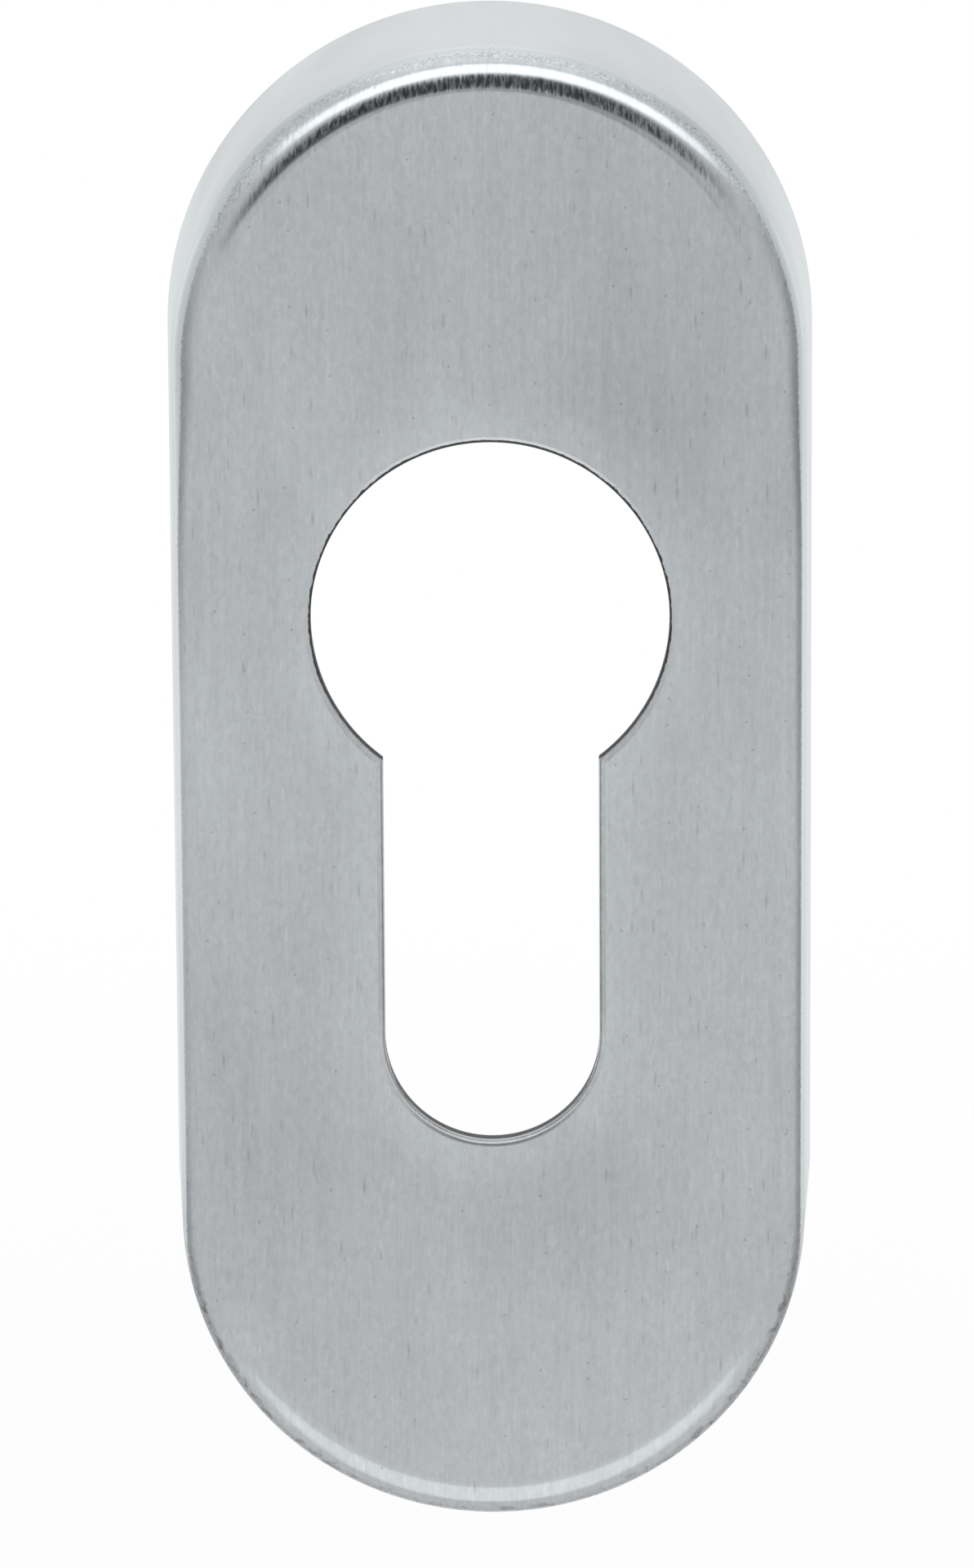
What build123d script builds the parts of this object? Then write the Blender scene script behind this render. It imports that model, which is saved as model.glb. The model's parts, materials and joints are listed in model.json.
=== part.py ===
# Oval cylinder escutcheon, drawn from one piece of stainless sheet.
# A deep cap with slightly flared walls and an open back slips over the end of a lock cylinder.
# The cylinder comes through a keyhole-shaped opening punched in the flat front face.
# Frame: +Z up, the front face towards -Y, the rim lies on the door in the plane Y = 0,
# and the Y axis is the axis of the lock cylinder. Sizes are in millimetres and degrees.
import os

from build123d import *

# Outline of the rim that meets the door, a straight-sided oval with round ends
base_width = 32.0
base_height = 74.5

# Drawn form: how far the face stands off the door, and how far the walls lean in towards it
depth = 14.0
draft = 3.1

# Sheet and the inside radius of the bend between wall and face
sheet = 1.2
bend_radius = 0.8

# Keyhole: a round head for the cylinder's barrel, and a slot with a round foot below it
head_diameter = 17.4
slot_width = 10.5
keyhole_height = 34.7
axis_above_centre = 8.9

# Rounded lip that the punch leaves around the keyhole's front edge
punch_lip_radius = 0.3

# Worked out from the sizes above
outer_bend_radius = bend_radius + sheet
slot_centres = keyhole_height - head_diameter / 2 - slot_width / 2
door_plane = Plane.XZ
face_plane = Plane.XZ.offset(depth)

with BuildPart() as escutcheon:
    # Solid blank: the rim's oval, drawn out to the face with leaning walls
    with BuildSketch(door_plane):
        with Locations((0, -axis_above_centre)):
            SlotOverall(base_height, base_width, rotation=90)
    extrude(amount=depth, taper=draft)

    # Round bend between the walls and the face
    face_outline = escutcheon.faces().sort_by(Axis.Y)[0].outer_wire().edges()
    fillet(face_outline, radius=outer_bend_radius)

    # Hollow the blank to an even sheet, open towards the door
    door_side = escutcheon.faces().sort_by(Axis.Y)[-1]
    offset(amount=-sheet, openings=door_side)

    # Punch the keyhole through the face
    with BuildSketch(face_plane):
        Circle(head_diameter / 2)
        with Locations((0, -slot_centres / 2)):
            SlotCenterToCenter(slot_centres, slot_width, rotation=90)
    extrude(amount=-2 * sheet, mode=Mode.SUBTRACT)

    # Soften the keyhole's front edge
    keyhole_edges = escutcheon.faces().sort_by(Axis.Y)[0].inner_wires()[0].edges()
    fillet(keyhole_edges, radius=punch_lip_radius)

escutcheon.part.label = "escutcheon"

os.makedirs("parts", exist_ok=True)
export_step(escutcheon.part, "parts/escutcheon.step")
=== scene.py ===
# %% [markdown]
# # A brushed steel escutcheon
# The object is a deep oval cap that slips over the end of a lock cylinder on a door. It is drawn from one
# piece of stainless sheet, its face is brushed from top to bottom, and a keyhole is punched through it.
# The lesson starts from the measured solid of the cap, which stays as it is and gives the main sizes and the
# place. The dressed cap is then modelled inside the same box.

# %% Load the measured solid
import json
import math

import bmesh
import bpy
from mathutils import Matrix, Vector


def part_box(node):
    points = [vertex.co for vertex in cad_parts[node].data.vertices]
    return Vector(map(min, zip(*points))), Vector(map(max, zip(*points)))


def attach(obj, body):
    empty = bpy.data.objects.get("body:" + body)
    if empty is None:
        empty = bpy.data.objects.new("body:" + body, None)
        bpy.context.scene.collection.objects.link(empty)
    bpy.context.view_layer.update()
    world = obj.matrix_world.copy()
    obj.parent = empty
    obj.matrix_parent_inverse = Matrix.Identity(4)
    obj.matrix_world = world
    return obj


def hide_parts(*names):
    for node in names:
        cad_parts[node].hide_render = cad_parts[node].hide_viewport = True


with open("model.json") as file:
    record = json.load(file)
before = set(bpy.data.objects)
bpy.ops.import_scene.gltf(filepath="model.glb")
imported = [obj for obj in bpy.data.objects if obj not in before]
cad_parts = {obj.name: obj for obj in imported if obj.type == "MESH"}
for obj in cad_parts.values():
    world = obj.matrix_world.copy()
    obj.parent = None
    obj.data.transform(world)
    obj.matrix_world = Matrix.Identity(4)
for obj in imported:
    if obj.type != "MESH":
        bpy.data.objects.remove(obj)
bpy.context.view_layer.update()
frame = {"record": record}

# %% [markdown]
# ## Sizes
# The solid's own box gives the rim, the depth and the middle of the oval, and the record gives the radius of
# the keyhole's round head. The sheet, the lean of the walls, the bend and the slot are written out as the
# maker's sizes, because a box can't tell them. Everything else is worked out from these.

# %% Sizes
mm = 0.001
low_corner, high_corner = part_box("escutcheon")
mounts = {mount["name"]: mount for mount in frame["record"]["mounts"]}

rim_radius = high_corner.x
face_y = low_corner.y
middle_z = (low_corner.z + high_corner.z) / 2
half_straight = (high_corner.z - low_corner.z) / 2 - rim_radius
head_radius = mounts["cylinder_bore"]["dims"]["r_mm"] * mm

sheet = 1.2 * mm
wall_lean = math.radians(3.1)
inner_bend_radius = 0.8 * mm
slot_half_width = 5.25 * mm
keyhole_height = 34.7 * mm
lip_radius = 0.3 * mm

bend_radius = inner_bend_radius + sheet
bend_turn = math.pi / 2 - wall_lean
bend_reach = bend_radius * math.tan(bend_turn / 2)
face_radius = rim_radius + face_y * math.tan(wall_lean)
flat_radius = face_radius - bend_reach
foot_z = head_radius + slot_half_width - keyhole_height
tiny = 0.002 * mm
print("rim", rim_radius / mm, "face", face_radius / mm, "flat", flat_radius / mm, "foot", foot_z / mm)

# %% [markdown]
# ## Camera
# The photograph looks straight at the keyhole from a little above, through a long lens. The camera is placed
# by three plain facts: which pixel the keyhole's centre falls on, how many pixels a metre takes up there, and
# how far the camera looks down, turns and rolls. The lens then follows from scale and distance.

# %% Camera
picture_width = 1193
picture_height = 1920
keyhole_column = 600.2
keyhole_row = 759.9
pixels_per_metre = 25327
camera_distance = 413.7 * mm
nearest_seen = 10 * mm
look_down = math.radians(12.39)
turn = math.radians(-0.325)
roll = math.radians(-0.333)
keyhole_centre = Vector((0, face_y, 0))

facing = Matrix.Rotation(roll, 3, "Y") @ Matrix.Rotation(look_down, 3, "X") @ Matrix.Rotation(turn, 3, "Z")
to_right, ahead, upward = facing
offset_right = (keyhole_column - picture_width / 2) / pixels_per_metre
offset_up = (picture_height / 2 - keyhole_row) / pixels_per_metre
camera_place = keyhole_centre - to_right * offset_right - upward * offset_up - ahead * camera_distance

bpy.ops.object.select_all(action="DESELECT")
bpy.ops.object.camera_add(location=camera_place)
camera = bpy.context.object
camera.rotation_euler = Matrix((to_right, upward, -ahead)).transposed().to_euler()
camera.data.lens = camera.data.sensor_width * pixels_per_metre * camera_distance / picture_height
camera.data.clip_start = nearest_seen
bpy.context.scene.camera = camera
print("camera at", tuple(camera_place), "lens", camera.data.lens)

# %% [markdown]
# ## Blank of the cap
# On the real object a press draws a flat oval into a cap whose walls lean in a little. A cone cut off at the
# face has that lean already. Cutting it at its level middle and pulling the halves apart turns it into an
# oval with straight sides, with no arcs to line up by hand. The number of corners is two more than a multiple
# of four, so that none lies on the middle line and each corner belongs to one half.

# %% Select by place
def select_only(kind, test):
    """Select just the vertices, edges or faces of the open mesh whose corners all pass a test of place."""
    modes = {"verts": "VERT", "edges": "EDGE", "faces": "FACE"}
    bpy.ops.mesh.select_mode(type=modes[kind])
    bpy.ops.mesh.select_all(action="DESELECT")
    mesh = bmesh.from_edit_mesh(bpy.context.object.data)
    chosen = 0
    for part in getattr(mesh, kind):
        corners = [part] if kind == "verts" else part.verts
        if all(test(corner.co) for corner in corners):
            part.select_set(True)
            chosen += 1
    mesh.select_flush_mode()
    bmesh.update_edit_mesh(bpy.context.object.data)
    return chosen


def on_face(point):
    return point.y < face_y + tiny


def at_rim(point):
    return point.y > -sheet


print("selecting by place, to within", tiny / mm, "mm")

# %% Blank of the cap
quarter_corners = 63
corners_around = 4 * quarter_corners + 2
bpy.ops.object.select_all(action="DESELECT")
bpy.ops.mesh.primitive_cone_add(
    vertices=corners_around, radius1=rim_radius, radius2=face_radius, depth=-face_y,
    location=(0, face_y / 2, middle_z), rotation=(math.pi / 2, 0, 0))
cap = bpy.context.object
cap.name = "brushed_escutcheon"
cap.data.name = "brushed_escutcheon"
bpy.ops.object.transform_apply(location=True, rotation=True, scale=True)
bpy.ops.object.mode_set(mode="EDIT")
upper = select_only("verts", lambda point: point.z > middle_z)
bpy.ops.transform.translate(value=(0, 0, half_straight))
lower = select_only("verts", lambda point: point.z < middle_z)
bpy.ops.transform.translate(value=(0, 0, -half_straight))
select_only("faces", at_rim)
bpy.ops.mesh.delete(type="ONLY_FACE")
print("blank of", upper, "upper and", lower, "lower corners")

# %% [markdown]
# ## Bend
# The sheet turns from wall to face in a round bend, which catches the studio as two thin bands, one dark and
# one bright. A bevel along the face's outline rolls the same bend. Its reach along the face comes from the
# bend's radius and the angle it turns through, and many steps keep the reflections smooth.

# %% Bend
bend_steps = 20
round_profile = 0.5
outline_edges = select_only("edges", on_face)
bpy.ops.mesh.bevel(
    offset=bend_reach, offset_type="OFFSET", segments=bend_steps, profile=round_profile, affect="EDGES")
print("bend rolled along", outline_edges, "edges")

# %% [markdown]
# ## Keyhole
# The keyhole is a round head with a straight slot and a round foot. A circle is cut at the slot's sides, its
# lower arc is removed, the two open ends are drawn down, and one of them is spun round the foot to the other.
# It is made a little too large first and inset back to size. The inset leaves a narrow band round the hole,
# which later gives the rounded lip a clean edge to sit on. The face is then filled between band and bend.

# %% Distance from the keyhole
def beyond_keyhole(point):
    """How far a point of the face lies outside the keyhole's outline."""
    slot_z = min(0, max(foot_z, point.z))
    from_head = math.hypot(point.x, point.z) - head_radius
    from_slot = math.hypot(point.x, point.z - slot_z) - slot_half_width
    return min(from_head, from_slot)


print("the keyhole's centre lies", -beyond_keyhole(keyhole_centre) / mm, "mm inside its outline")

# %% Keyhole outline
support_band = 0.45 * mm
wide_head = head_radius + support_band
wide_slot = slot_half_width + support_band
corner_z = -math.sqrt(wide_head ** 2 - wide_slot ** 2)
head_corners = 180
foot_steps = 48


def near_keyhole(point):
    return on_face(point) and beyond_keyhole(point) < 2 * support_band


def below_centre(point):
    return near_keyhole(point) and point.z < 0


select_only("faces", on_face)
bpy.ops.mesh.delete(type="ONLY_FACE")
bpy.ops.mesh.primitive_circle_add(
    vertices=head_corners, radius=wide_head, location=keyhole_centre, rotation=(math.pi / 2, 0, 0))
for side in (-1, 1):
    select_only("edges", near_keyhole)
    bpy.ops.mesh.bisect(plane_co=(side * wide_slot, 0, 0), plane_no=(1, 0, 0), threshold=tiny)
select_only("verts", lambda point: below_centre(point) and abs(point.x) < wide_slot - tiny)
bpy.ops.mesh.delete(type="VERT")
ends = select_only("verts", lambda point: below_centre(point) and abs(point.x) < wide_slot + tiny)
bpy.ops.mesh.extrude_vertices_move(TRANSFORM_OT_translate={"value": (0, 0, foot_z - corner_z)})
bpy.ops.transform.resize(value=(1, 1, 0), center_override=(0, 0, foot_z))
select_only("verts", lambda point: near_keyhole(point) and point.x > 0 and point.z < foot_z + tiny)
bpy.ops.mesh.spin(steps=foot_steps, angle=-math.pi, center=(0, face_y, foot_z), axis=(0, 1, 0))
bpy.ops.mesh.select_all(action="SELECT")
bpy.ops.mesh.remove_doubles(threshold=tiny)
print("keyhole drawn down from", ends, "ends")

# %% Face between the keyhole and the bend
outline = select_only("edges", near_keyhole)
bpy.ops.mesh.edge_face_add()
bpy.ops.mesh.select_mode(type="FACE")
bpy.ops.mesh.inset(thickness=support_band, depth=0, use_even_offset=True)
bpy.ops.mesh.delete(type="ONLY_FACE")
loops = select_only("edges", lambda point: on_face(point) and beyond_keyhole(point) > support_band / 2)
bpy.ops.mesh.fill(use_beauty=True)
bpy.ops.mesh.select_all(action="SELECT")
bpy.ops.mesh.normals_make_consistent(inside=False)
bpy.ops.object.mode_set(mode="OBJECT")
print("keyhole of", outline, "edges, face filled between", loops, "edges")

# %% [markdown]
# ## Sheet
# So far the cap is a skin with no thickness. Solidify grows it inwards by the thickness of the sheet, as the
# real sheet has the same thickness in face, bend and wall. It can hand out materials as it does so: the skin
# stays the brushed outside, the new inner skin takes the raw inside, and the edges that close the sheet at
# the rim and in the keyhole take the cut edge. The rim is ground flat afterwards, to lie on the door.

# %% Sheet
finishes = ["brushed_outside", "raw_inside", "cut_edge"]
for finish in finishes:
    cap.data.materials.append(bpy.data.materials.new(finish))

bpy.ops.object.modifier_add(type="SOLIDIFY")
thickness = cap.modifiers[-1]
thickness.thickness = sheet
thickness.offset = -1
thickness.use_even_offset = True
thickness.use_quality_normals = True
thickness.material_offset = finishes.index("raw_inside")
thickness.material_offset_rim = finishes.index("cut_edge")
bpy.ops.object.modifier_apply(modifier=thickness.name)

bpy.ops.object.mode_set(mode="EDIT")
ground = select_only("verts", at_rim)
bpy.ops.transform.resize(value=(1, 0, 1), center_override=(0, 0, 0))
print("sheet closed, rim ground flat at", ground, "corners")

# %% [markdown]
# ## Lip and edges
# Punching drags the face's edge a little way into the hole, and brushing rounds it further, so a soft lip
# runs round the keyhole and catches a line of light. The edge at the back of the hole and both edges of the
# rim are only deburred. Each is a bevel on edges picked by their place: at the hole's outline, or at the rim.

# %% Lip and edges
lip_steps = 8
deburr = 0.08 * mm
deburr_steps = 3


def on_hole_front(point):
    return on_face(point) and abs(beyond_keyhole(point)) < tiny


def on_hole_back(point):
    return abs(point.y - face_y - sheet) < tiny and abs(beyond_keyhole(point)) < tiny


lip_edges = select_only("edges", on_hole_front)
bpy.ops.mesh.bevel(
    offset=lip_radius, segments=lip_steps, profile=round_profile, affect="EDGES",
    material=finishes.index("cut_edge"))
back_edges = select_only("edges", on_hole_back)
bpy.ops.mesh.bevel(offset=deburr, segments=deburr_steps, profile=round_profile, affect="EDGES")
rim_edges = select_only("edges", lambda point: point.y > -tiny)
bpy.ops.mesh.bevel(offset=deburr, segments=deburr_steps, profile=round_profile, affect="EDGES")
bpy.ops.object.mode_set(mode="OBJECT")
print("lip on", lip_edges, "edges, deburred", back_edges, "and", rim_edges, "edges")

# %% [markdown]
# ## Smooth shading
# Smooth shading alone would let the flat face darken towards the bend, because a corner's normal is the mean
# of the faces round it. Weighted normals let the large flat faces win, so the face and walls stay flat and
# only the bend and the lip turn the light.

# %% Smooth shading
sharp_from = math.radians(35)
bpy.ops.object.shade_smooth_by_angle(angle=sharp_from)
bpy.ops.object.modifier_add(type="WEIGHTED_NORMAL")
flatter = cap.modifiers[-1]
flatter.keep_sharp = True
bpy.ops.object.modifier_apply(modifier=flatter.name)
print("cap has", len(cap.data.polygons), "faces")

# %% [markdown]
# ## Direction of the brushing
# The belt brushed the face from top to bottom and ran over the bend. Lines that follow a surface need a map
# of that surface, so the cap is unfolded flat: the face keeps its place, and bend and wall are laid out
# around it by the length of the sheet. Across the map is then across the brush lines everywhere. The map is
# in millimetres, counted from the middle of the keyhole's head.

# %% Unfolded map of the sheet
def unfolded(point):
    """Place of a point on the sheet as it lay before it was drawn into a cap."""
    spine_z = min(middle_z + half_straight, max(middle_z - half_straight, point.z))
    outward = Vector((point.x, point.z - spine_z))
    reach = outward.length
    below_face = point.y - face_y
    if reach > flat_radius:
        sine = min(1, (reach - flat_radius) / bend_radius)
        wall = max(0, below_face - bend_radius)
        reach = flat_radius + bend_radius * math.asin(sine) + wall
    outward.normalize()
    return (outward * reach + Vector((0, spine_z))) / mm


brush_map = cap.data.uv_layers.new(name="brushing")
for corner in cap.data.loops:
    brush_map.data[corner.index].uv = unfolded(cap.data.vertices[corner.vertex_index].co)
print("unfolded", len(cap.data.loops), "corners")

# %% [markdown]
# ## Effects that the finishes share
# Steel shows the same few marks again and again, so each is a small node group. Brush lines are noise that is
# stretched along the belt, clouds are soft uneven sheen, and specks are pits where they are round and
# scratches where they are long. A fourth group measures the distance from the keyhole's outline. Each takes a
# place in millimetres and puts out one value, so every finish can use it with its own sizes.

# %% Node helpers
def put(tree, kind, inputs=None, **settings):
    """Add a node, apply its settings, and fill its inputs with values or with links from other sockets."""
    made = tree.nodes.new(kind)
    for name, value in settings.items():
        setattr(made, name, value)
    for key, value in (inputs or {}).items():
        if isinstance(value, bpy.types.NodeSocket):
            tree.links.new(value, made.inputs[key])
        else:
            made.inputs[key].default_value = value
    return made


def calc(tree, operation, *values):
    """One step of arithmetic on sockets or numbers."""
    return put(tree, "ShaderNodeMath", dict(enumerate(values)), operation=operation).outputs[0]


def ramp(tree, value, start, end, low=0.0, high=1.0):
    """A smooth change from low to high as a value goes from start to end."""
    inputs = {"Value": value, "From Min": start, "From Max": end, "To Min": low, "To Max": high}
    return put(tree, "ShaderNodeMapRange", inputs, interpolation_type="SMOOTHSTEP").outputs[0]


def plus(tree, base, value, weight):
    """A base with a value times its weight added to it."""
    return calc(tree, "MULTIPLY_ADD", value, weight, base)


def overlap(tree, first, *others):
    """Masks, shades or weights multiplied together."""
    product = first
    for mask in others:
        product = calc(tree, "MULTIPLY", product, mask)
    return product


def rest(tree, mask):
    """What a mask leaves out."""
    return calc(tree, "SUBTRACT", 1.0, mask)


print("node helpers ready")

# %% Group helpers
def new_group(name, numbers, result):
    """An empty node group that takes a place and some numbers and puts out one value."""
    tree = bpy.data.node_groups.new(name, "ShaderNodeTree")
    tree.interface.new_socket("Place", in_out="INPUT", socket_type="NodeSocketVector")
    for number in numbers:
        tree.interface.new_socket(number, in_out="INPUT", socket_type="NodeSocketFloat")
    tree.interface.new_socket(result, in_out="OUTPUT", socket_type="NodeSocketFloat")
    return tree, tree.nodes.new("NodeGroupInput").outputs, tree.nodes.new("NodeGroupOutput").inputs[0]


def stretched(tree, place, width, length):
    """A place measured in widths across and lengths along."""
    size = put(tree, "ShaderNodeCombineXYZ", {0: width, 1: length, 2: 1.0}).outputs[0]
    return put(tree, "ShaderNodeVectorMath", {0: place, 1: size}, operation="DIVIDE").outputs[0]


print("group helpers ready")

# %% Brush lines
lines_tree, given, result = new_group("Brush lines", ["Width", "Length"], "Lines")
spot = stretched(lines_tree, given["Place"], given["Width"], given["Length"])
look = {"Vector": spot, "Scale": 1.0, "Detail": 3.0, "Roughness": 0.6}
noise = put(lines_tree, "ShaderNodeTexNoise", look, noise_dimensions="2D")
lines_tree.links.new(noise.outputs[0], result)
print("group", lines_tree.name)

# %% Clouds
clouds_tree, given, result = new_group("Clouds", ["Width", "Length"], "Clouds")
spot = stretched(clouds_tree, given["Place"], given["Width"], given["Length"])
look = {"Vector": spot, "Scale": 1.0, "Detail": 4.0, "Roughness": 0.55, "Distortion": 0.6}
noise = put(clouds_tree, "ShaderNodeTexNoise", look, noise_dimensions="2D")
clouds_tree.links.new(noise.outputs[0], result)
print("group", clouds_tree.name)

# %% Specks
specks_tree, given, result = new_group("Specks", ["Width", "Length", "Share", "Size"], "Specks")
spot = stretched(specks_tree, given["Place"], given["Width"], given["Length"])
cells = put(specks_tree, "ShaderNodeTexVoronoi", {"Vector": spot, "Scale": 1.0}, voronoi_dimensions="2D")
chance = put(specks_tree, "ShaderNodeSeparateColor", {0: cells.outputs["Color"]}).outputs[0]
chosen = calc(specks_tree, "LESS_THAN", chance, given["Share"])
inside = ramp(specks_tree, cells.outputs["Distance"], given["Size"], 0.0)
specks_tree.links.new(overlap(specks_tree, chosen, inside), result)
print("group", specks_tree.name)

# %% Distance from the keyhole, for the finishes
around_tree, given, result = new_group("Around keyhole", ["Head", "Slot", "Foot"], "Distance")
across_up = put(around_tree, "ShaderNodeSeparateXYZ", {0: given["Place"]}).outputs
from_head = put(around_tree, "ShaderNodeVectorMath", {0: given["Place"]}, operation="LENGTH").outputs["Value"]
from_head = calc(around_tree, "SUBTRACT", from_head, given["Head"])
nearest = calc(around_tree, "MAXIMUM", calc(around_tree, "MINIMUM", across_up["Y"], 0.0), given["Foot"])
rise = calc(around_tree, "SUBTRACT", across_up["Y"], nearest)
offset = put(around_tree, "ShaderNodeCombineXYZ", {0: across_up["X"], 1: rise}).outputs[0]
from_slot = put(around_tree, "ShaderNodeVectorMath", {0: offset}, operation="LENGTH").outputs["Value"]
from_slot = calc(around_tree, "SUBTRACT", from_slot, given["Slot"])
around_tree.links.new(calc(around_tree, "MINIMUM", from_head, from_slot), result)
print("group", around_tree.name)

# %% [markdown]
# ## Brushed outside
# The belt brushed the face and part of the bend, and the wall keeps the smoother, brighter skin of the drawn
# sheet. Both are one material, mixed by the depth below the face. The helpers here start a finish, place an
# effect in it, add up uneven shades and blend colours. The other two finishes use them again.

# %% Start of a finish
def begin_finish(name):
    """Clear a material and give its nodes, its shader, the place on the map and the depth below the face."""
    material = bpy.data.materials[name]
    material.use_nodes = True
    tree = material.node_tree
    tree.nodes.clear()
    surface = tree.nodes.new("ShaderNodeBsdfPrincipled")
    surface.inputs["Metallic"].default_value = 1.0
    put(tree, "ShaderNodeOutputMaterial", {"Surface": surface.outputs[0]})
    place = put(tree, "ShaderNodeUVMap", uv_map="brushing").outputs[0]
    at = put(tree, "ShaderNodeTexCoord").outputs["Object"]
    depth = put(tree, "ShaderNodeSeparateXYZ", {0: at}).outputs["Y"]
    below = plus(tree, -face_y / mm, depth, 1 / mm)
    return tree, surface, place, below


def effect(tree, group, place, **numbers):
    """One of the shared effects, with its own sizes."""
    made = put(tree, "ShaderNodeGroup", node_tree=group)
    tree.links.new(place, made.inputs["Place"])
    for name, value in numbers.items():
        made.inputs[name.capitalize()].default_value = value
    return made.outputs[0]


print("finishes to make:", ", ".join(finishes))

# %% Shades and colours
noise_middle = 0.5


def uneven(tree, noises=(), lighter=(), darker=()):
    """One, with noises added about their middle and masks added or taken off, each with its weight."""
    total = 1.0
    for noise, weight in noises:
        total = plus(tree, total, calc(tree, "SUBTRACT", noise, noise_middle), weight)
    for mask, weight in lighter:
        total = plus(tree, total, mask, weight)
    for mask, weight in darker:
        total = plus(tree, total, mask, -weight)
    return total


def blend(tree, share, first, second, how="MIX"):
    """Mix or multiply two colours."""
    mixed = put(tree, "ShaderNodeMix", {0: share, 6: first, 7: second}, data_type="RGBA", blend_type=how)
    return mixed.outputs[2]


def bump(tree, height):
    """Relief from a height in millimetres."""
    return put(tree, "ShaderNodeBump", {"Strength": 1.0, "Distance": mm, "Height": height}).outputs[0]


print("noises count from their middle at", noise_middle)

# %% [markdown]
# ## Marks of the belt
# Close up, brushing is thousands of short scratches, some light and some dark, over broader streaks. Noise
# and specks that are stretched along the map give each kind, and small weights keep the face calm from a
# distance.

# %% Marks of the belt
tree, surface, place, below = begin_finish("brushed_outside")
fine = effect(tree, lines_tree, place, width=0.15, length=1.7)
broad = effect(tree, lines_tree, place, width=0.5, length=16.0)
mottle = effect(tree, clouds_tree, place, width=0.3, length=0.55)
scratches = effect(tree, specks_tree, place, width=1.1, length=6.0, share=0.3, size=0.1)
glints = effect(tree, specks_tree, place, width=1.7, length=7.0, share=0.25, size=0.07)
marks = effect(tree, specks_tree, place, width=0.8, length=4.0, share=0.3, size=0.11)
belt_marks = uneven(
    tree,
    noises=[(fine, 0.15), (broad, 0.12), (mottle, 0.26)],
    lighter=[(glints, 0.12)],
    darker=[(scratches, 0.2), (marks, 0.15)])
print("marks of the belt")

# %% [markdown]
# ## Edge of the brushing
# The belt stops on the bend. At the two round ends it touched only the high spots, so the edge is ragged and
# gritty there, and along the straight sides it is smoother. At the upper sides it lies nearer the face.
# Masks made from the depth and from the place on the map say where the brushed skin ends and the drawn skin
# starts.

# %% Places on the map
upper_end_from = (19.0, 24.0)
lower_end_from = (-30.0, -38.0)
left_to_right = (-12.0, 12.0)

sides = put(tree, "ShaderNodeSeparateXYZ", {0: place}).outputs
map_across = sides["X"]
map_up = sides["Y"]
from_middle = calc(tree, "ABSOLUTE", map_across)
upper_end = ramp(tree, map_up, *upper_end_from)
lower_end = ramp(tree, map_up, *lower_end_from)
print("places on the map")

# %% Edge of the brushing
belt_stops = (1.0, 1.15)
sooner_from = (2.0, 13.0)
sooner_until = (25.0, 18.0)
sooner_left = 0.42
sooner_right = 0.32
gritty_above = (16.0, 23.0)
side_raggedness = 0.2
end_raggedness = 0.4

speckle = effect(tree, clouds_tree, place, width=0.16, length=0.16)
grit = calc(tree, "SUBTRACT", speckle, noise_middle)
gritty_ends = calc(tree, "ADD", ramp(tree, map_up, *gritty_above), lower_end)
upper_sides = overlap(tree, ramp(tree, map_up, *sooner_from), ramp(tree, map_up, *sooner_until))
sooner = overlap(tree, upper_sides, ramp(tree, map_across, *left_to_right, sooner_left, sooner_right))
raggedness = plus(tree, side_raggedness, gritty_ends, end_raggedness)
ragged = calc(tree, "ADD", plus(tree, below, grit, raggedness), sooner)
drawn = ramp(tree, ragged, *belt_stops)
brushed = rest(tree, drawn)
print("edge of the brushing")

# %% [markdown]
# ## Dull ring
# Just inside that edge a dull ring darkens the steel, gritty at the ends. It is partly steel that the belt
# only scuffed and partly painted shade, for the shade under the cap that the lower bend would reflect. It
# isn't the same all round: it is faint across the upper end, weaker on the left, and wider round the lower
# end. The grit is the same speckle that makes the edge ragged, so the two belong together.

# %% Dull ring
ring_begins = (0.5, 0.95)
ring_fades = (1.15, 1.0)
wider_below = 0.8
side_grit = 0.2
end_grit = 0.8
faint_above = (21.0, 13.0)
faintest = 0.2
middle_part = (14.0, 8.0)
middle_loss = 0.72
middle_loss_below = 0.15
left_rise = (-8.0, 10.0)
left_low = 0.45
left_high = 0.85
left_foot = (-24.0, -32.0)
left_foot_gain = 0.5

ring_depth = plus(tree, ragged, lower_end, -wider_below)
ring = overlap(tree, ramp(tree, ragged, *ring_begins), ramp(tree, ring_depth, *ring_fades))
ring_grit = overlap(tree, grit, ring, plus(tree, side_grit, gritty_ends, end_grit))
near_middle = ramp(tree, from_middle, *middle_part)
fainter = overlap(tree, near_middle, ramp(tree, map_up, *lower_end_from, middle_loss, middle_loss_below))
left_share = ramp(tree, map_up, *left_rise, left_low, left_high)
left_share = calc(tree, "ADD", left_share, ramp(tree, map_up, *left_foot, 0.0, left_foot_gain))
# Painted shade, partly scuffed steel: the dull ring darkens the colour.
dull_and_painted_shade = overlap(tree, ring, ramp(tree, map_up, *faint_above, faintest, 1.0), rest(tree, fainter))
dull_and_painted_shade = overlap(tree, dull_and_painted_shade, ramp(tree, map_across, *left_to_right, left_share, 1.0))
print("dull ring")

# %% [markdown]
# ## Rubbed spots
# Round the lower end, where the cap is set down and pushed about, dark rubbed spots lie on the outer part of
# the bend. They are the peaks of a cloud pattern, kept to that part by depth and place.

# %% Rubbed spots
spot_peaks = (0.48, 0.68)
spots_begin = (0.42, 0.68)
spots_end = (2.4, 1.9)
spots_below = (-26.0, -38.0)

rubbed = ramp(tree, effect(tree, clouds_tree, place, width=0.7, length=0.7), *spot_peaks)
rubbed = overlap(tree, rubbed, ramp(tree, below, *spots_begin), ramp(tree, below, *spots_end))
rubbed = overlap(tree, rubbed, ramp(tree, map_up, *spots_below))
print("rubbed spots")

# %% [markdown]
# ## Comb on the upper bend
# Where the belt ran off over the upper bend, its lines cross the dark band that the bend reflects and break
# it up like the teeth of a comb. A mask keeps these lines to the first part of the bend on the upper end.

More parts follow.
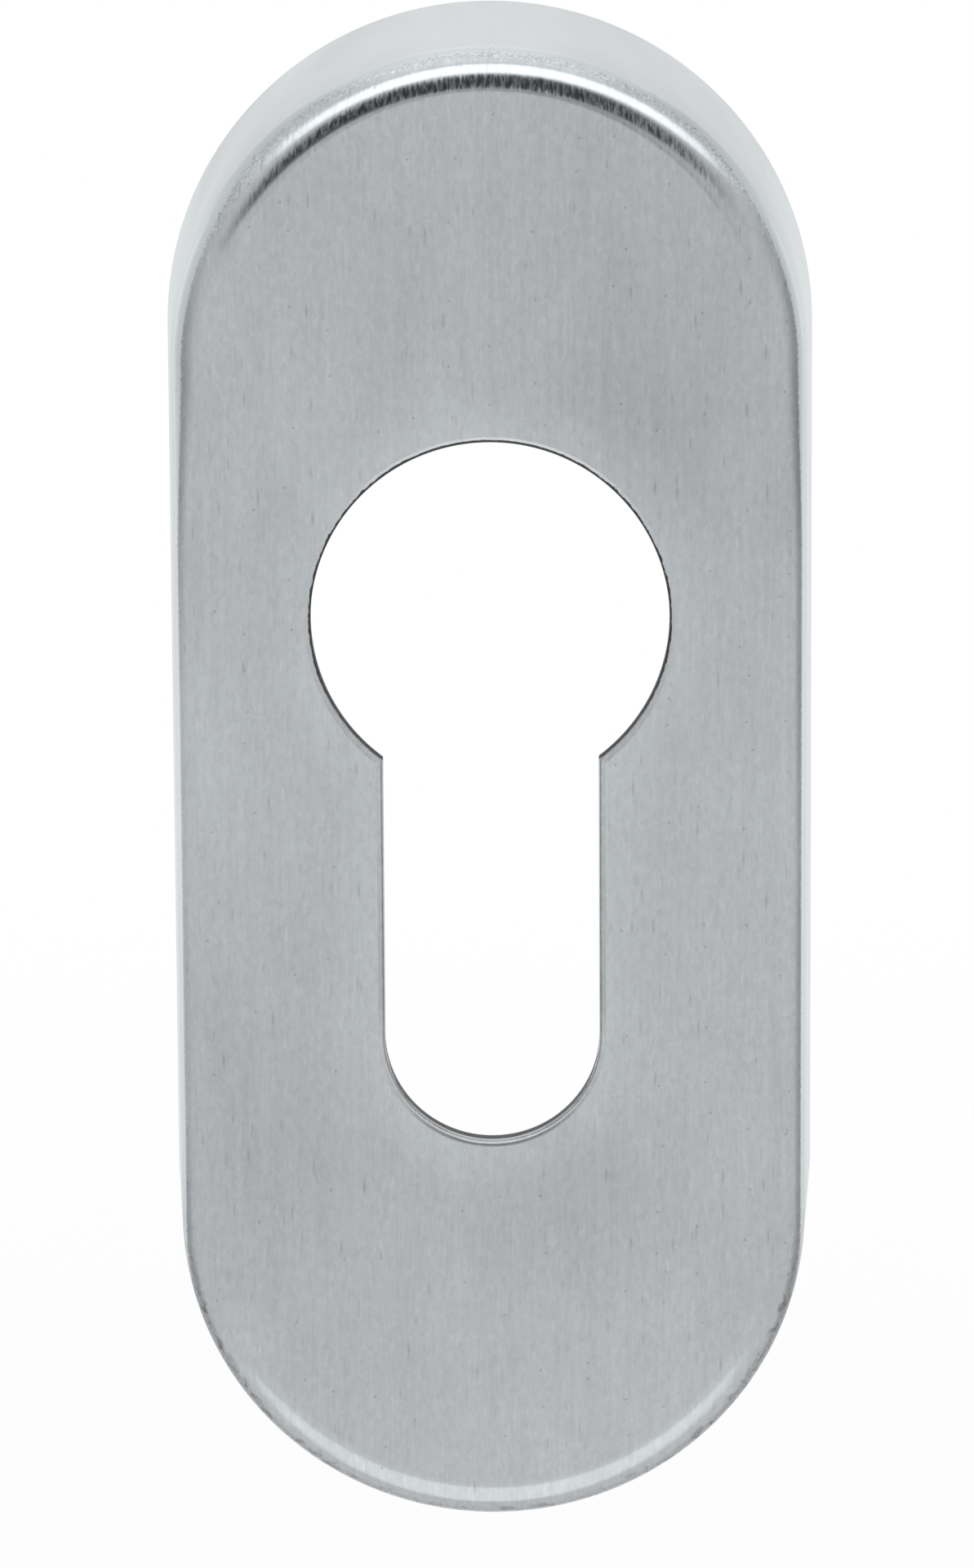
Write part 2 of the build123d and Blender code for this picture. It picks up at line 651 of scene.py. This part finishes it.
# %% Comb on the upper bend
comb_delay = 0.04
delay_from = (2.0, 9.0)
comb_rise = 0.03
comb_fades = (0.24, 0.12)
teeth_contrast = (0.38, 0.62)

comb_start = ramp(tree, from_middle, *delay_from, 0.0, comb_delay)
comb_full = calc(tree, "ADD", comb_start, comb_rise)
on_bend = overlap(tree, ramp(tree, below, comb_start, comb_full), ramp(tree, below, *comb_fades), upper_end)
teeth = ramp(tree, effect(tree, lines_tree, place, width=0.15, length=0.6), *teeth_contrast)
comb = overlap(tree, calc(tree, "SUBTRACT", teeth, noise_middle), on_bend)
print("comb on the upper bend")

# %% [markdown]
# ## Sheen of the drawn wall
# At the sides the wall is painted a little lighter towards the rim, a painted sheen, and on the upper end a
# little darker beside the ring, painted shade. Both are masks of depth and place.

# %% Sheen of the drawn wall
rim_part = (1.5, 7.0)
side_part = (10.0, 19.0)
duller_from = (2.0, 5.0)
duller_until = (15.0, 10.0)

towards_rim = ramp(tree, below, *rim_part)
# Painted sheen: lighter towards the rim at the wall's sides.
painted_sheen_on_sides = overlap(tree, towards_rim, ramp(tree, from_middle, *side_part))
shoulders = overlap(tree, ramp(tree, from_middle, *duller_from), ramp(tree, from_middle, *duller_until))
# Painted shade: darker beside the ring on the upper end.
painted_shade_beside_ring = overlap(tree, drawn, rest(tree, towards_rim), shoulders, upper_end)
print("sheen of the drawn wall")

# %% [markdown]
# ## Colour of the brushed outside
# Two greys, one for the brushed and one for the drawn skin, are multiplied by a shade that adds up the marks.
# Clouds stand for uneven brushing, and soft oval patches make the steel a little darker or lighter in
# places. The steel is polished a little around the keyhole, where keys and hands touch it. The belt's own
# marks count only where the belt went.

# %% Soft patches
def patch(tree, place, middle, reach):
    """1 in the middle of a soft oval patch, 0 from its edge outwards."""
    away = put(tree, "ShaderNodeVectorMath", {0: place, 1: (*middle, 0)}, operation="SUBTRACT").outputs[0]
    away = put(tree, "ShaderNodeVectorMath", {0: away, 1: (*reach, 1)}, operation="DIVIDE").outputs[0]
    away = put(tree, "ShaderNodeVectorMath", {0: away}, operation="LENGTH").outputs["Value"]
    return ramp(tree, away, 1.0, 0.0)


dim_above = patch(tree, place, middle=(8.5, 12), reach=(7, 14))
dim_top = patch(tree, place, middle=(-3, 17), reach=(13, 11))
dim_below = patch(tree, place, middle=(-11, -25), reach=(7, 15))
dim_right = patch(tree, place, middle=(14.5, 7), reach=(3.5, 8))
dim_foot = patch(tree, place, middle=(5, -29), reach=(8, 7))
clear_below = patch(tree, place, middle=(9.5, -38), reach=(10, 9))
print("soft patches")

# %% Colour of the brushed outside
brushed_colour = (0.44, 0.463, 0.479, 1)
drawn_colour = (0.487, 0.521, 0.534, 1)
polish_reach = (3.0, 0.2)

clouds = effect(tree, clouds_tree, place, width=5.0, length=8.0)
drift = effect(tree, clouds_tree, place, width=10.0, length=26.0)
drawn_lines = effect(tree, lines_tree, place, width=0.3, length=9.0)
pits = effect(tree, specks_tree, place, width=2.0, length=2.0, share=0.36, size=0.05)
handled = effect(tree, around_tree, place, head=head_radius / mm, slot=slot_half_width / mm, foot=foot_z / mm)
polish = ramp(tree, handled, *polish_reach)
# Painted light goes into this shade too: painted sheen on the wall's sides, and painted shade beside the ring
# and in the dull ring.
shade = uneven(
    tree,
    noises=[(clouds, 0.1), (drift, 0.24), (drawn_lines, 0.04)],
    lighter=[(polish, 0.07), (ring_grit, 1.3), (comb, 0.6), (clear_below, 0.08), (painted_sheen_on_sides, 0.09)],
    darker=[(pits, 0.32), (dull_and_painted_shade, 0.46), (rubbed, 0.32), (painted_shade_beside_ring, 0.09), (dim_above, 0.14),
            (dim_top, 0.06), (dim_below, 0.09), (dim_right, 0.1), (dim_foot, 0.07)])
belt_marks = plus(tree, 1.0, calc(tree, "SUBTRACT", belt_marks, 1.0), brushed)
shade = calc(tree, "MULTIPLY", shade, belt_marks)
base = blend(tree, drawn, brushed_colour, drawn_colour)
tree.links.new(blend(tree, 1.0, base, shade, "MULTIPLY"), surface.inputs["Base Color"])
print("colour of the brushed outside")

# %% [markdown]
# ## Gloss and relief of the brushed outside
# Brushed steel blurs reflections across its lines far more than along them. Anisotropic does this once its
# tangent follows the map across the lines. The fine lines also stand out as a shallow bump, and on the upper
# bend the normal is rocked a little up and down, so that the dark band there gets an uneven edge.

# %% Gloss of the brushed outside
brushed_roughness = 0.19
line_roughness = 0.08
comb_roughness = 0.08
drawn_roughness = 0.2
cloud_roughness = 0.1

rough_brushed = plus(tree, brushed_roughness, fine, line_roughness)
rough_brushed = plus(tree, rough_brushed, comb, comb_roughness)
rough_drawn = plus(tree, drawn_roughness, clouds, cloud_roughness)
rough = put(tree, "ShaderNodeMix", {0: drawn, 2: rough_brushed, 3: rough_drawn}).outputs[0]
tree.links.new(rough, surface.inputs["Roughness"])
across_lines = put(tree, "ShaderNodeTangent", direction_type="UV_MAP", uv_map="brushing")
tree.links.new(across_lines.outputs[0], surface.inputs["Tangent"])
surface.inputs["Anisotropic"].default_value = 0.8
print("gloss of the brushed outside")

# %% Relief of the brushed outside
line_height = 0.005
rocking = 0.22

relief = bump(tree, overlap(tree, fine, brushed, line_height))
ripple = effect(tree, lines_tree, place, width=0.2, length=2.5)
rocked = overlap(tree, calc(tree, "SUBTRACT", ripple, noise_middle), on_bend, rocking)
rocked = put(tree, "ShaderNodeCombineXYZ", {2: rocked}).outputs[0]
tilted = put(tree, "ShaderNodeVectorMath", {0: relief, 1: rocked}, operation="ADD").outputs[0]
tilted = put(tree, "ShaderNodeVectorMath", {0: tilted}, operation="NORMALIZE").outputs[0]
tree.links.new(tilted, surface.inputs["Normal"])
print("brushed outside with", len(tree.nodes), "nodes")

# %% [markdown]
# ## Raw inside
# Nobody polishes the inside of such a cap. It keeps the dull grey of the rolled and drawn sheet, with faint
# lines from the press and uneven clouds of drawing oil that never quite came off.

# %% Raw inside
raw_colour = (0.33, 0.342, 0.35, 1)
raw_roughness = 0.33
oil_roughness = 0.3
press_line_height = 0.01

tree, surface, place, _ = begin_finish("raw_inside")
lines = effect(tree, lines_tree, place, width=0.35, length=6.0)
clouds = effect(tree, clouds_tree, place, width=4.0, length=5.0)
specks = effect(tree, specks_tree, place, width=1.6, length=1.6, share=0.12, size=0.06)
shade = uneven(tree, noises=[(lines, 0.25), (clouds, 0.5)], darker=[(specks, 0.35)])
tree.links.new(blend(tree, 1.0, raw_colour, shade, "MULTIPLY"), surface.inputs["Base Color"])
tree.links.new(plus(tree, raw_roughness, clouds, oil_roughness), surface.inputs["Roughness"])
relief = bump(tree, calc(tree, "MULTIPLY", lines, press_line_height))
tree.links.new(relief, surface.inputs["Normal"])
print("raw inside with", len(tree.nodes), "nodes")

# %% [markdown]
# ## Cut edge
# Punching leaves two zones at the keyhole: a lip that was drawn in and then brushed bright, and behind it a
# torn edge that no brush reached. The torn edge is painted nearly black: partly its own rough grey steel, and
# partly painted shade, the shadow inside the hole. The rim is a plain ground edge. They lie at different
# depths below the face, so one finish holds them all, with a ragged line where the bright lip ends. The lip's
# bright part is narrow at the top of the head and wider along the slot and at the foot. The lip's colour is
# painted lighter towards the top of the head and darker at the foot, as painted highlight and painted shade.
# Heights are in millimetres from the middle of the head.

# %% Heights along the keyhole
foot_to_top = (-26.0, 9.0)
top_from = (5.0, 8.5)
head_foot_from = (-2.0, -6.6)
slot_begins = (-6.6, -7.2)
slot_ends = (-23.5, -21.0)
foot_from = (-23.5, -25.5)
foot_side_low = (-25.6, -24.2)
foot_side_high = (-19.0, -21.0)

tree, surface, _, below = begin_finish("cut_edge")
at = put(tree, "ShaderNodeTexCoord").outputs["Object"]
at_mm = put(tree, "ShaderNodeVectorMath", {0: at, "Scale": 1 / mm}, operation="SCALE").outputs[0]
level = put(tree, "ShaderNodeSeparateXYZ", {0: at_mm}).outputs["Z"]
head_top = ramp(tree, level, *top_from)
below_corner = ramp(tree, level, *slot_begins)
on_head = rest(tree, below_corner)
head_foot = overlap(tree, ramp(tree, level, *head_foot_from), on_head)
on_slot = overlap(tree, ramp(tree, level, *slot_ends), below_corner)
foot_sides = overlap(tree, ramp(tree, level, *foot_side_low), ramp(tree, level, *foot_side_high))
print("heights along the keyhole")

# %% End of the bright lip
lip_at_foot = 0.22
lip_at_top = 0.05
more_on_slot = 0.2
more_at_head_foot = 0.1
less_at_top = 0.015
more_at_foot = 0.2
plain_raggedness = 0.18
top_raggedness = 0.07
torn_blur = 0.015
deepest_torn = 3.0

grain = put(tree, "ShaderNodeTexNoise", {"Vector": at_mm, "Scale": 2.5, "Detail": 4.0}).outputs[0]
raggedness = ramp(tree, level, *top_from, plain_raggedness, top_raggedness)
ragged = plus(tree, below, calc(tree, "SUBTRACT", grain, noise_middle), raggedness)
bright_until = ramp(tree, level, *foot_to_top, lip_at_foot, lip_at_top)
bright_until = plus(tree, bright_until, on_slot, more_on_slot)
bright_until = plus(tree, bright_until, head_foot, more_at_head_foot)
bright_until = plus(tree, bright_until, head_top, -less_at_top)
bright_until = calc(tree, "ADD", bright_until, ramp(tree, level, *foot_from, 0.0, more_at_foot))
past_lip = calc(tree, "SUBTRACT", ragged, bright_until)
in_keyhole = calc(tree, "LESS_THAN", below, deepest_torn)
# Painted shade, partly torn steel: the mask of the dark edge behind the lip.
torn_and_shade = overlap(tree, ramp(tree, past_lip, -torn_blur, torn_blur), in_keyhole)
print("end of the bright lip")

# %% Colour, gloss and relief of the cut edge
sheared_colour = (0.46, 0.475, 0.485, 1)
# Nearly black: grey torn steel darkened by painted shade, the shadow inside the hole.
torn_and_shade_colour = (0.075, 0.077, 0.078, 1)
painted_shade_at_foot = 0.85
painted_light_at_top = 1.25
painted_highlight_at_top = 0.2
painted_light_at_foot_sides = 0.22
lip_roughness = 0.38
torn_roughness = 0.2
head_roughness = 0.25
grain_height = 0.02

# Painted light: the lip is painted darker at the foot and lighter towards the top of the head, with a painted
# highlight at the top and painted light on the foot's sides.
shade = overlap(
    tree,
    uneven(tree, noises=[(grain, 0.4)]),
    ramp(tree, level, *foot_to_top, painted_shade_at_foot, painted_light_at_top),
    plus(tree, 1.0, head_top, painted_highlight_at_top),
    plus(tree, 1.0, foot_sides, painted_light_at_foot_sides))
base = blend(tree, torn_and_shade, sheared_colour, torn_and_shade_colour)
tree.links.new(blend(tree, 1.0, base, shade, "MULTIPLY"), surface.inputs["Base Color"])
rough = plus(tree, plus(tree, lip_roughness, torn_and_shade, torn_roughness), on_head, head_roughness)
tree.links.new(rough, surface.inputs["Roughness"])
relief = bump(tree, calc(tree, "MULTIPLY", grain, grain_height))
tree.links.new(relief, surface.inputs["Normal"])
print("cut edge with", len(tree.nodes), "nodes")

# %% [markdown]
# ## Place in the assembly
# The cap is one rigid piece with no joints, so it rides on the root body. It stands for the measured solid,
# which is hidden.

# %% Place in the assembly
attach(cap, "root")
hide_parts("escutcheon")
print(cap.name, "stands for the measured solid")

# %% [markdown]
# ## Studio
# Brushed and burnished metal shows its surroundings, so the studio is part of the look. All around is plain
# white, at a strength of one where the camera or a reflection sees it, and dimmer where it only lights
# things.

# %% White surroundings
scene = bpy.context.scene
scene.view_settings.view_transform = "Standard"
ambient_level = 0.75


def shows_white(tree):
    """One for rays that see the background: from the camera, off metal or through glass."""
    ray = put(tree, "ShaderNodeLightPath").outputs
    seen = calc(tree, "ADD", ray["Is Camera Ray"], ray["Is Glossy Ray"])
    seen = calc(tree, "ADD", seen, ray["Is Transmission Ray"])
    return calc(tree, "MINIMUM", seen, 1.0)


world = bpy.data.worlds.new("white_studio")
scene.world = world
world.use_nodes = True
world.node_tree.nodes.clear()
strength = plus(world.node_tree, ambient_level, shows_white(world.node_tree), 1 - ambient_level)
glow = put(world.node_tree, "ShaderNodeBackground", {"Color": (1, 1, 1, 1), "Strength": strength})
put(world.node_tree, "ShaderNodeOutputWorld", {"Surface": glow.outputs[0]})
print("white studio")

# %% [markdown]
# ## Floor
# A round sheet of pale paper lies below the cap and keeps its shadow. It is matt, with a faint glow that
# brings it close to white in the picture, and reflections see it as plain white. Towards its edge it fades
# away, so that no line shows where it ends.

# %% Floor
floor_gap = 40 * mm
floor_radius = 0.5
floor_corners = 128
floor_z = low_corner.z - floor_gap
bpy.ops.object.select_all(action="DESELECT")
bpy.ops.mesh.primitive_circle_add(
    vertices=floor_corners, radius=floor_radius, fill_type="NGON", location=(0, 0, floor_z))
floor = bpy.context.object
floor.name = "floor"
print("floor at", floor_z)

# %% Pale paper
paper_grey = (0.82, 0.82, 0.82, 1)
paper_glow = 0.17
fade_from = 0.14 * floor_radius
fade_to = 0.6 * floor_radius

paper = bpy.data.materials.new("pale_paper")
paper.use_nodes = True
tree = paper.node_tree
tree.nodes.clear()
matt = put(tree, "ShaderNodeBsdfDiffuse", {"Color": paper_grey})
lift = put(tree, "ShaderNodeEmission", {"Strength": calc(tree, "MULTIPLY", shows_white(tree), paper_glow)})
lit = put(tree, "ShaderNodeAddShader", {0: matt.outputs[0], 1: lift.outputs[0]})
white = put(tree, "ShaderNodeEmission", {"Strength": 1.0})
ray = put(tree, "ShaderNodeLightPath").outputs
mirrored = calc(tree, "MAXIMUM", ray["Is Glossy Ray"], ray["Is Transmission Ray"])
sheet_of_paper = put(tree, "ShaderNodeMixShader", {0: mirrored, 1: lit.outputs[0], 2: white.outputs[0]})
clear = put(tree, "ShaderNodeBsdfTransparent")
spot = put(tree, "ShaderNodeTexCoord").outputs["Object"]
reach = put(tree, "ShaderNodeVectorMath", {0: spot}, operation="LENGTH").outputs["Value"]
fade = ramp(tree, reach, fade_from, fade_to)
shown = put(tree, "ShaderNodeMixShader", {0: fade, 1: sheet_of_paper.outputs[0], 2: clear.outputs[0]})
put(tree, "ShaderNodeOutputMaterial", {"Surface": shown.outputs[0]})
floor.data.materials.append(paper)
print("pale paper on the floor")

# %% [markdown]
# ## Lamps above and behind
# A softbox glows evenly, so one number, its radiance, says how bright its reflection is, and its power
# follows from that and its size. A wide key above the camera draws the bright line along the upper bend. Two
# weak lamps overhead lift the wall on the upper end, and two more behind lift its sides. The camera sees none
# of them.

# %% Softbox
def direction(azimuth, elevation):
    """Unit vector towards a place in the studio; azimuth 0 is in front, positive to the right."""
    side = math.radians(azimuth)
    rise = math.radians(elevation)
    return Vector((math.sin(side) * math.cos(rise), -math.cos(side) * math.cos(rise), math.sin(rise)))


def softbox(name, place, away, width, height, radiance):
    """An oblong lamp with its back turned to one direction, which glows evenly."""
    bpy.ops.object.light_add(type="AREA", location=place)
    lamp = bpy.context.object
    lamp.name = name
    lamp.rotation_euler = away.to_track_quat("Z", "Y").to_euler()
    lamp.data.shape = "RECTANGLE"
    lamp.data.size = width
    lamp.data.size_y = height
    lamp.data.energy = 4 * radiance * width * height
    lamp.visible_camera = False
    return lamp


print("the front of the studio lies towards", tuple(direction(azimuth=0, elevation=0)))

# %% Lamps above and behind
lamp_distance = 0.6
key_shift = Vector((0.05, 0, 0))
key_turn = math.radians(3)

bpy.ops.object.select_all(action="DESELECT")
key_side = direction(azimuth=3, elevation=62)
key_place = key_side * lamp_distance + key_shift
key = softbox("key_softbox", key_place, key_side, width=1.3, height=0.27, radiance=1.08)
key.rotation_euler.rotate_axis("Z", key_turn)
top_side = direction(azimuth=0, elevation=119)
softbox("overhead", top_side * lamp_distance, top_side, width=0.62, height=1.0, radiance=0.2)
high_side = direction(azimuth=0, elevation=101)
softbox("overhead_front", high_side * lamp_distance, high_side, width=0.62, height=0.5, radiance=0.14)
for rim_azimuth in (-134, 134):
    rim_side = direction(azimuth=rim_azimuth, elevation=-5)
    softbox("rim_light", rim_side * lamp_distance, rim_side, width=0.26, height=0.4, radiance=0.35)
print("key, overhead and rim lamps")

# %% [markdown]
# ## Lamps on the floor
# The lower bend looks down on the floor just in front of the cap. Two weak lamps lie there with their backs
# down, a turned oval near the cap and an oblong further out. They draw the pale band along the lower bend.
# The oval has the power of an oblong of its size on a smaller area, so it glows a little more than its
# number says.

# %% Lamps on the floor
fill_z = floor_z + 2 * mm
low_fill_place = Vector((2 * mm, face_y - 37 * mm, fill_z))
low_fill_turn = math.radians(9)
far_fill_place = Vector((10 * mm, face_y - 103 * mm, fill_z))
down = Vector((0, 0, -1))

low_fill = softbox("low_fill", low_fill_place, down, width=108 * mm, height=60 * mm, radiance=0.31)
low_fill.data.shape = "ELLIPSE"
low_fill.rotation_euler.rotate_axis("Z", low_fill_turn)
softbox("far_fill", far_fill_place, down, width=100 * mm, height=74 * mm, radiance=0.08)
print("two lamps on the floor")

# %% [markdown]
# ## Dark ovals
# The dark band on the upper bend is the unlit side of the studio, behind the camera. A wide, tilted oval of
# dark cloth stands in for that shade, and a small one in the middle is the camera's own dark front. The cloth
# is painted a little paler towards the right, as the band is. The camera doesn't see it, but reflections do.

# %% Dark cloth
paler_across = (-0.8, 0.4)
darkest = 0.02
palest = 0.12

dark_cloth = bpy.data.materials.new("dark_cloth")
dark_cloth.use_nodes = True
tree = dark_cloth.node_tree
tree.nodes.clear()
spot = put(tree, "ShaderNodeTexCoord").outputs["Object"]
to_the_right = put(tree, "ShaderNodeSeparateXYZ", {0: spot}).outputs["X"]
# Painted shade for the unlit studio, a little paler towards the right.
grey = ramp(tree, to_the_right, *paler_across, darkest, palest)
cloth = put(tree, "ShaderNodeBsdfPrincipled", {"Base Color": grey, "Roughness": 0.9})
put(tree, "ShaderNodeOutputMaterial", {"Surface": cloth.outputs[0]})
print("dark cloth")

# %% Dark ovals
oval_corners = 96


def dark_oval(name, place, half_width, half_height, tilt=0):
    """An upright oval of dark cloth that the camera can't see; a tilt raises its right end."""
    bpy.ops.mesh.primitive_circle_add(
        vertices=oval_corners, radius=1, fill_type="NGON", location=place, rotation=(math.pi / 2, 0, 0))
    oval = bpy.context.object
    oval.name = name
    oval.scale = (half_width, half_height, 1)
    oval.rotation_euler.rotate_axis("Z", math.radians(tilt))
    oval.data.materials.append(dark_cloth)
    oval.visible_camera = False


dark_oval("dark_screen", place=(0.03, -0.8, 0.45), half_width=0.68, half_height=0.32, tilt=14)
dark_oval("camera_front", place=(0.03, -0.79, 0.045), half_width=0.075, half_height=0.09)
print("dark screen and camera front")
